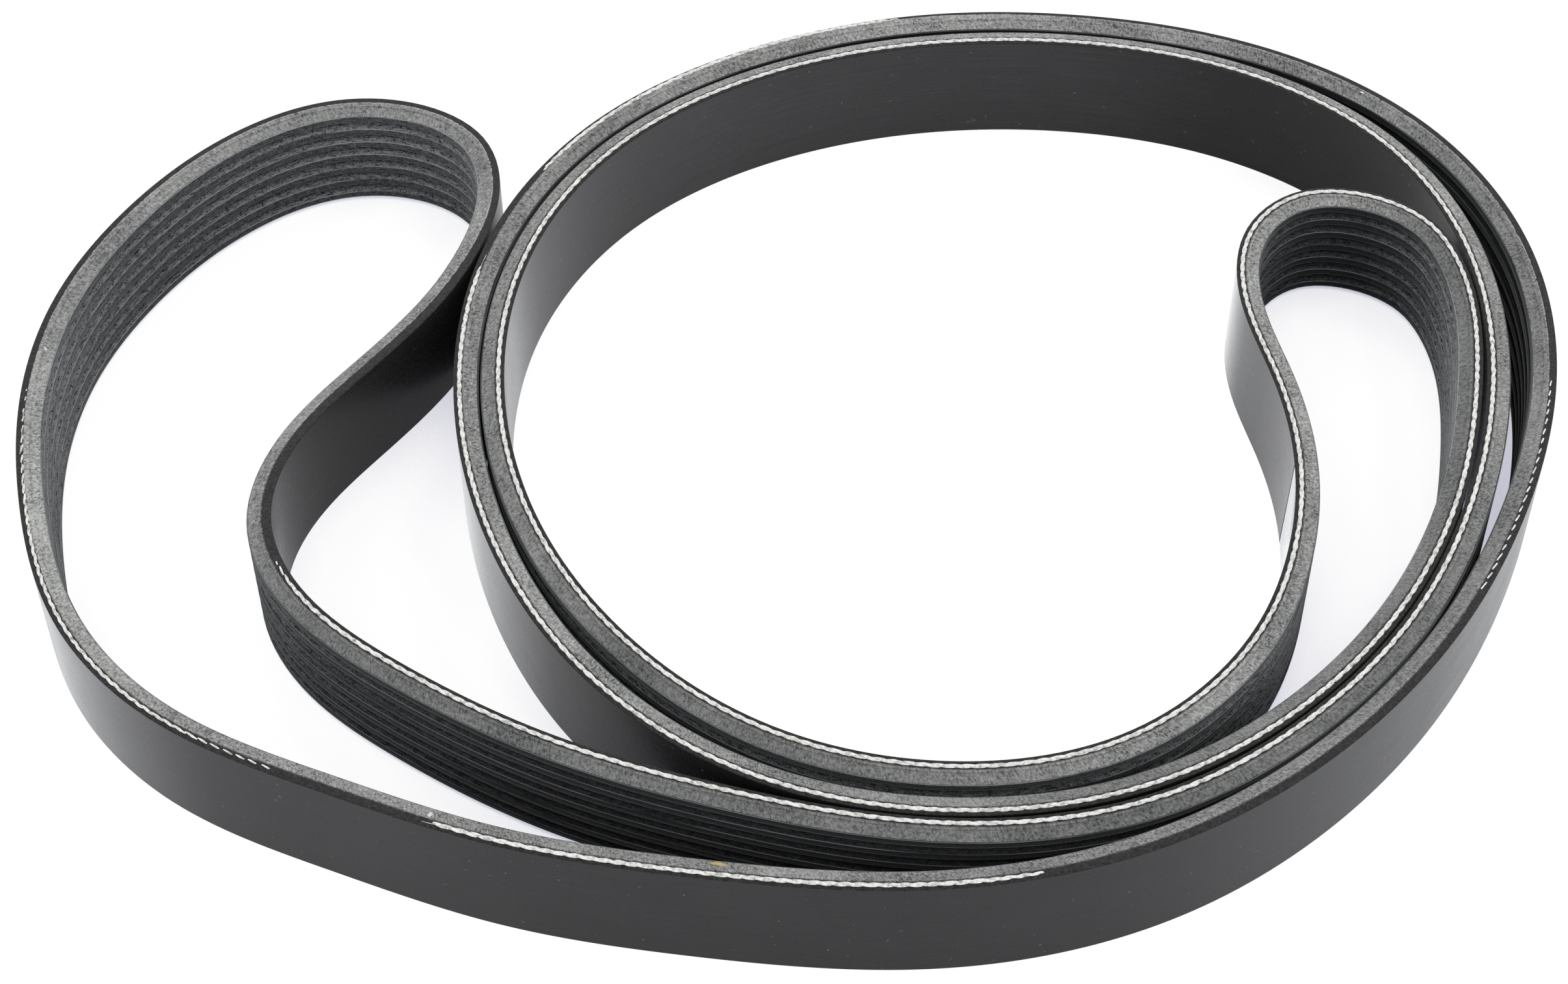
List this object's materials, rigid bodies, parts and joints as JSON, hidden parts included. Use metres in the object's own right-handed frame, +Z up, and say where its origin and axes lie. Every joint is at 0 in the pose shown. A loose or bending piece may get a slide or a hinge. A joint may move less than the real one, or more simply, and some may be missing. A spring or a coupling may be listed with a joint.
{
  "type": "serpentine belt",
  "caption": "Endless multi-ribbed rubber drive belt, wound in loose turns and lying on its cut edge, with a large bight beside the coil and a small one inside it.",
  "frame": {"origin": "middle of the bounding box, on the surface that the belt's cut edge lies on", "axes": "+Z up across the belt's width, +X along the longest side of the coiled shape, away from the large bight, +Y away from the viewer of the picture"},
  "size_m": [0.2968, 0.2234, 0.0249],
  "materials": {
    "belt_rubber": "matte"
  },
  "bodies": {
    "root": {"ribbed_belt": "belt_rubber"}
  },
  "joints": []
}
